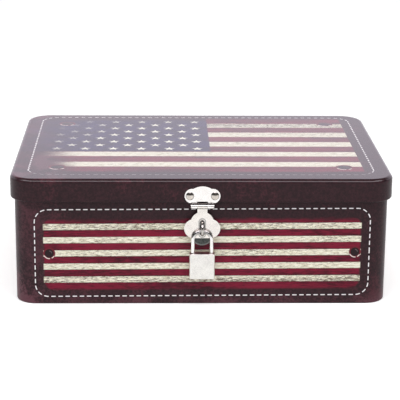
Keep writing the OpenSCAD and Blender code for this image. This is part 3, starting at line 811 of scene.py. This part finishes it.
def printed_finish(name, outer_colour, depth_of, lacquer_on_top):
    """Lacquered print on the outer side of the sheet, and bare tin on the inner side."""
    material, shader, at, x, y, z = new_finish(name)
    bare = depth_of(x, y, z) > tin_t / 2
    colour = blend(bare, outer_colour(at, x, y, z), tin_colour(at))
    grain = noise(at, lacquer_grain_scale, 4, 0.6, shift=(2, 6, 1))
    gloss = rise(z, *top_gloss_z) * lacquer_on_top
    roughness = wall_roughness + grain * roughness_spread - gloss * smoother_top + bare * rougher_tin
    fill(shader, Base_Color=colour, Metallic=bare * tin_metal, Roughness=roughness, IOR=lacquer_ior,
         Coat_Weight=gloss * coat_weight * (1 - bare), Coat_Roughness=coat_roughness, Coat_IOR=coat_ior,
         Normal=bumps(grain, lacquer_dents))
    return material


body_print = printed_finish("printed_tin_body", body_colour, body_depth, lacquer_on_top=0.0)
lid_print = printed_finish("printed_tin_lid", lid_colour, lid_depth, lacquer_on_top=1.0)
for finish in (body_print, lid_print):
    print("print made:", finish.name, "with", len(finish.node_tree.nodes), "nodes")

# %% [markdown]
# ## Metal
# The hardware is stamped steel with bright nickel. Small plated parts are tumbled in a drum, which leaves
# a fine even speckle in the colour, the roughness and the surface. The rivets' heads were pressed when they
# were set, so they are flatter than the domes in the CAD model. Turning the normal part of the way back to
# the front shows that without changing the shape.

# %% A metal finish
smudge_scale = 0.22


def pressed_flat(normal, share):
    """Turns a normal part of the way back to the front of the trunk, as on a head that was pressed flat."""
    front = normal.node("ShaderNodeVectorTransform",
                        {"vector_type": "NORMAL", "convert_from": "OBJECT", "convert_to": "WORLD"},
                        {"Vector": (0, -1, 0)})
    mixed = normal.node("ShaderNodeMix", {"data_type": "VECTOR"},
                        {"Factor": share, 4: normal, 5: front}, output=1)
    return normal.node("ShaderNodeVectorMath", {"operation": "NORMALIZE"}, {0: mixed})


def metal_finish(name, light, dark, grain_scale, grain_stretch, roughness, dents, painted_light=None, flatness=0.0):
    """A metal with a fine grain, and a function that paints shade or a highlight over its colour."""
    material, shader, at, x, _, z = new_finish(name)
    grain = noise(at, grain_scale, 4, 0.65, grain_stretch)
    smudge = noise(at, smudge_scale, 3, 0.6, shift=(3, 9, 5))
    colour = blend(rise(grain * 0.75 + smudge * 0.25, 0.40, 0.62), light, dark)
    if painted_light:
        colour = painted_light(colour, x, z)
    normal = bumps(grain, dents)
    if flatness:
        normal = pressed_flat(normal, flatness)
    fill(shader, Base_Color=colour, Metallic=1.0,
         Roughness=roughness[0] + smudge * (roughness[1] - roughness[0]), Normal=normal)
    return material


even = (1, 1, 1)
drawn_up = (1, 1, 0.1)
print("grain stretches:", {"even": even, "rolled": rolled, "drawn up": drawn_up})

# %% [markdown]
# ## Painted shade on the hardware
# Curved nickel mirrors the dark room round it, and these marks paint that shade into its colour: dark
# bands above and below the rolled knuckles, a dark line round the rivets' heads, and grey on the burr
# round the slot and on the bow's top. A light rim on the staple plate's foot is a painted highlight. All
# are painted at places worked out from the boxes of the pieces.

# %% Where the marks lie
staple_low, staple_high = box_mm("staple_loop")
staple_mid_z = (staple_low.z + staple_high.z) / 2
slot_half_w = 1.6
slot_half_h = (staple_high.z - staple_low.z) / 2 + 0.3
pin_low, pin_high = box_mm("hasp_pin")
hasp_pin_z = (pin_low.z + pin_high.z) / 2
knuckle_r = (pin_high.z - pin_low.z) / 2 + strap_t
rivet_low, rivet_high = box_mm("hasp_rivets")
rivet_r = (rivet_high.z - rivet_low.z) / 2
rivet_x, rivet_z = rivet_high.x - rivet_r, (rivet_low.z + rivet_high.z) / 2
bow_top_z = box_mm("padlock_shackle")[1].z
foot_round_r = 7
foot_mid_z = box_mm("staple_plate")[0].z + foot_round_r
print(f"knuckle radius {knuckle_r:.2f}, rivet radius {rivet_r:.2f}")
print(f"rivets at x {rivet_x:.1f} and z {rivet_z:.1f}")

# %% Painted marks
# Colours for painted shade on the nickel, and a grey for a painted highlight.
shade_grey = (0.24, 0.235, 0.23)
knuckle_shade_dark = (0.03, 0.03, 0.03)
rim_highlight_grey = (0.42, 0.41, 0.40)
knuckle_shade = (0.6, 1.05)
burr_w = (0.05, 0.75)
rivet_shade_w = (0.7, 0.1)
bow_shade_h = (6, 2)
rim_highlight_w = (1.1, 0.3)


def knuckle_painted_shade(colour, x, z):
    """Painted shade: dark lines above and below the rolled knuckles, for the dark room that they mirror."""
    from_pin = abs(z - hasp_pin_z)
    inner, outer = (knuckle_r * share for share in knuckle_shade)
    return blend(band(from_pin, inner, outer, 0.2), colour, knuckle_shade_dark)


def burr_painted_shade(colour, x, z):
    """The knuckles' painted shade, and grey painted shade on the burr round the slot punched in the tongue.
    """
    past_slot = rounded_distance(x, z - staple_mid_z, slot_half_w, slot_half_h, slot_half_w)
    return blend(band(past_slot, *burr_w, 0.12) * 0.75, knuckle_painted_shade(colour, x, z), shade_grey)


def rivet_edge_shade(colour, x, z):
    """Painted shade: a dark line round each rivet's head, where it meets the plate."""
    from_middle = length(abs(x) - rivet_x, z - rivet_z)
    edge_shade = rise(from_middle, rivet_r - rivet_shade_w[0], rivet_r - rivet_shade_w[1])
    return blend(edge_shade * 0.8, colour, shade_grey)


def bow_painted_shade(colour, x, z):
    """Painted shade: the bow's top is made grey, for the dark room that its curve mirrors."""
    bow_shade = rise(z, bow_top_z - bow_shade_h[0], bow_top_z - bow_shade_h[1])
    return blend(bow_shade * 0.85, colour, shade_grey)


def foot_rim_highlight(colour, x, z):
    """Painted highlight: a light rim along the round foot of the staple's plate."""
    from_rim = foot_round_r - length(x, z - foot_mid_z)
    return blend(rise(from_rim, *rim_highlight_w) * 0.4, colour, rim_highlight_grey)


print("the burr round the slot is", round(burr_w[1] - burr_w[0], 2), "mm wide")

# %% [markdown]
# ## The metal finishes
# Bright nickel is smooth. The padlock's case is satin, so it is rougher and grainier. The bow is drawn
# wire, so its grain runs up it. The steel inside the lock is plain and a little oily. The plate under the
# tongue is painted near black as a painted shadow of the tongue, and the rivets and the staple have darker
# nickel as painted shade. Light and dark are the two ends of the speckle.

# %% Nickel, satin nickel, tin and steel
bright_light, bright_dark = (0.93, 0.90, 0.88), (0.84, 0.81, 0.78)
nickel = metal_finish("nickel_plate", bright_light, bright_dark, grain_scale=2.4, grain_stretch=even,
                      roughness=(0.16, 0.30), dents=0.012)
satin = metal_finish("satin_nickel", (0.875, 0.86, 0.82), (0.72, 0.705, 0.67), grain_scale=2.6,
                     grain_stretch=even, roughness=(0.24, 0.40), dents=0.03)
tin = metal_finish("plain_tin", tin_bright, tin_dull, grain_scale=tin_streak_scale, grain_stretch=rolled,
                   roughness=(0.3, 0.45), dents=0.01)
steel = metal_finish("lock_steel", (0.50, 0.49, 0.47), (0.32, 0.31, 0.30), grain_scale=1.8,
                     grain_stretch=drawn_up, roughness=(0.3, 0.5), dents=0.02)
print("plain finishes:", [finish.name for finish in (nickel, satin, tin, steel)])

# %% The pieces with painted shade of their own
plate_nickel = metal_finish("nickel_hasp_plate", bright_light, bright_dark, grain_scale=2.4,
                            grain_stretch=even, roughness=(0.16, 0.30), dents=0.012, painted_light=knuckle_painted_shade)
# The rivets' nickel is darker than the plate's, as painted shade in their domes.
rivet_shaded_nickel = metal_finish("nickel_rivet_shaded", (0.68, 0.62, 0.56), (0.50, 0.46, 0.42), grain_scale=1.6,
                            grain_stretch=even, roughness=(0.10, 0.20), dents=0.012, painted_light=rivet_edge_shade,
                            flatness=0.35)
tongue_nickel = metal_finish("nickel_tongue", (0.86, 0.82, 0.77), (0.70, 0.66, 0.62), grain_scale=2.4,
                             grain_stretch=even, roughness=(0.16, 0.30), dents=0.015, painted_light=burr_painted_shade)
bow_nickel = metal_finish("nickel_bow", (0.93, 0.92, 0.90), (0.82, 0.81, 0.79), grain_scale=1.2,
                          grain_stretch=drawn_up, roughness=(0.12, 0.22), dents=0.01, painted_light=bow_painted_shade)
# The staple sits in the slot behind the tongue, so its darker nickel is painted shade.
staple_shaded_nickel = metal_finish("nickel_staple_shaded", (0.60, 0.58, 0.55), (0.36, 0.35, 0.33), grain_scale=1.6,
                             grain_stretch=even, roughness=(0.12, 0.25), dents=0.02)
# The plate under the tongue is near black as a painted shadow of the tongue, with a painted highlight along
# its foot.
foot_shadow_steel = metal_finish("steel_painted_shadow", (0.10, 0.105, 0.10), (0.05, 0.055, 0.055), grain_scale=0.9,
                          grain_stretch=even, roughness=(0.35, 0.5), dents=0.02, painted_light=foot_rim_highlight)
print("materials made:", len(bpy.data.materials))

# %% [markdown]
# ## Giving the CAD nodes their finishes
# The record names a material slot for each CAD node. The slot's finish goes into the node's own slots.
# Pieces with painted shade or highlights, or with metal of their own, take their own finish instead.

# %% Assign the finishes
finishes = {"printed_tin_body": body_print, "printed_tin_lid": lid_print, "plain_tin": tin,
            "nickel_plate": nickel, "satin_nickel": satin, "lock_steel": steel}
own_finishes = {"hasp_plate": plate_nickel, "hasp_rivets": rivet_shaded_nickel, "hasp_tongue": tongue_nickel,
                "padlock_shackle": bow_nickel, "staple_loop": staple_shaded_nickel, "staple_plate": foot_shadow_steel}
slot_of = {part["node"]: part["material_slot"] for part in frame["record"]["subparts"]}
for node_name, piece in frame["nodes"].items():
    piece.data.materials.clear()
    piece.data.materials.append(own_finishes.get(node_name, finishes[slot_of[node_name]]))
print("nodes with a finish:", len(frame["nodes"]))

# %% [markdown]
# ## The floor
# The photograph has a plain white ground. The floor is pale and catches the soft shadow. It glows a little
# for the camera and for mirrors only, so it looks white without lighting the tin. The lamps reach its far
# part less, so the glow is a little stronger there.

# %% A pale floor
floor_size = 12
floor_white = 0.86
camera_glow, mirror_glow, far_glow = 0.42, 0.25, 0.11
far_y = (0.5, 1.3)

bpy.ops.object.select_all(action="DESELECT")
bpy.ops.mesh.primitive_plane_add(size=floor_size, location=(0, 0, 0))
floor = bpy.context.object
floor.name = "floor"

floor_material = bpy.data.materials.new("floor_white")
floor_material.use_nodes = True
floor_tree = floor_material.node_tree
floor_shader = floor_tree.nodes["Principled BSDF"]
floor_rays = floor_tree.nodes.new("ShaderNodeLightPath").outputs
by_camera, by_mirror, through = (Wire(floor_rays[name]) for name in
                                 ("Is Camera Ray", "Is Glossy Ray", "Is Transmission Ray"))
floor_at = Wire(floor_tree.nodes.new("ShaderNodeTexCoord").outputs["Object"])
floor_y = floor_at.node("ShaderNodeSeparateXYZ", {}, {"Vector": floor_at}, output=1)
seen_glow = by_camera * (rise(floor_y, *far_y) * far_glow + camera_glow)
glow = most(seen_glow, most(by_mirror, through) * mirror_glow)
fill(floor_shader, Base_Color=(floor_white, floor_white, floor_white, 1), Roughness=0.9,
     Specular_IOR_Level=0.0, Emission_Color=glow, Emission_Strength=1.0)
floor.data.materials.append(floor_material)
print("floor", floor_size, "m wide")

# %% [markdown]
# ## The room that the metal mirrors
# Bright metal shows its surroundings more than its own colour. In a photographer's room that is a white
# wall behind the object, a dark hall above, and a long white strip of light in front, high up. Only mirror
# rays see these. The camera sees plain white, and the object gets an even, weak light from all sides.

# %% The sky
ambient = (0.38, 0.38, 0.39)
wall_white = (1.0, 0.93, 1.05)
hall_dark = (0.08, 0.08, 0.08)
strip_white = (5.0, 4.7, 4.9)
plain_white = (1, 1, 1)
wall_top, wall_soft = 0.57, 0.1
wall_y, strip_y = (0.0, 0.3), (-0.02, -0.12)
strip_z, strip_soft = (0.58, 0.87), 0.04

world = bpy.data.worlds.new("studio")
scene.world = world
world.use_nodes = True
sky_tree = world.node_tree
background = sky_tree.nodes["Background"]
sky_rays = sky_tree.nodes.new("ShaderNodeLightPath").outputs
direction = Wire(sky_tree.nodes.new("ShaderNodeTexCoord").outputs["Generated"])
sky_y, sky_z = (direction.node("ShaderNodeSeparateXYZ", {}, {"Vector": direction}, output=i)
                for i in (1, 2))
on_wall = rise(sky_y, *wall_y) * rise(sky_z, wall_top + wall_soft, wall_top - wall_soft)
in_strip = rise(sky_y, *strip_y) * band(sky_z, *strip_z, strip_soft)
mirrored = blend(in_strip, blend(on_wall, hall_dark, wall_white), strip_white)
in_mirror = most(Wire(sky_rays["Is Glossy Ray"]), Wire(sky_rays["Is Transmission Ray"]))
sky = blend(in_mirror, ambient, mirrored)
sky = blend(Wire(sky_rays["Is Camera Ray"]), sky, plain_white)
sky_tree.links.new(sky.socket, background.inputs["Color"])
background.inputs["Strength"].default_value = 1.0
print("sky made with", len(sky_tree.nodes), "nodes")

# %% [markdown]
# ## The lamps
# One wide softbox hangs over and in front of the trunk and makes the soft shadow. Two weaker ones stand to
# the left and the right, so that no side goes black. Mirror rays don't see them, because the strip in the
# sky already gives the metal its highlight.

# %% Three softboxes


def softbox(name, place, target, width, height, power):
    """A rectangular area light that faces a point. Its power is in watts, its sizes in metres."""
    lamp = bpy.data.lights.new(name, "AREA")
    lamp.shape = "RECTANGLE"
    lamp.size, lamp.size_y, lamp.energy = width, height, power
    holder = bpy.data.objects.new(name, lamp)
    scene.collection.objects.link(holder)
    holder.location = place
    holder.rotation_euler = (Vector(target) - Vector(place)).to_track_quat("-Z", "Y").to_euler()
    holder.visible_glossy = False
    return holder


trunk_middle = (0, 0, 0.04)
softboxes = [
    softbox("softbox_top", place=(0, -0.5, 1.37), target=(0, 0, 0), width=1.7, height=0.5, power=15.5),
    softbox("softbox_left", place=(-1.3, -1.5, 0.9), target=trunk_middle, width=0.8, height=0.8, power=4.5),
    softbox("softbox_right", place=(1.4, -1.4, 0.9), target=trunk_middle, width=0.8, height=0.8, power=4)]
print("lamps:", [lamp.name for lamp in softboxes])

# %% [markdown]
# ## The camera
# The camera stands a metre in front of the trunk, a third of a metre up, and a little to the left. Its
# place, turn and focal length were found by matching the corners of the lid, the body and the hardware.

# %% Place the camera
camera_place = Vector((-30.35, -998.48, 332.84)) * MM
camera_yaw, camera_pitch, camera_roll = (math.radians(v) for v in (1.815, 16.155, 0.558))
focal_px, picture_px, sensor_mm = 1525.0, 400, 36.0
nearest_seen, farthest_seen = 0.05, 50

forward = Vector((math.sin(camera_yaw) * math.cos(camera_pitch),
                  math.cos(camera_yaw) * math.cos(camera_pitch),
                  -math.sin(camera_pitch)))
level_right = forward.cross(Vector((0, 0, 1))).normalized()
level_up = level_right.cross(forward)
right = level_right * math.cos(camera_roll) + level_up * math.sin(camera_roll)
up = level_up * math.cos(camera_roll) - level_right * math.sin(camera_roll)
camera_turn = Matrix((right, up, forward * -1)).transposed().to_4x4()

lens = bpy.data.cameras.new("camera")
lens.sensor_width = sensor_mm
lens.lens = focal_px / picture_px * sensor_mm
lens.clip_start, lens.clip_end = nearest_seen, farthest_seen
camera = bpy.data.objects.new("camera", lens)
scene.collection.objects.link(camera)
camera.matrix_world = Matrix.Translation(camera_place) @ camera_turn
scene.camera = camera
scene.view_settings.view_transform = "Standard"
print("camera at", [round(v, 3) for v in camera_place], "lens", round(lens.lens, 1))

# %% [markdown]
# ## Checking the size
# The finishes must not move or grow any piece.
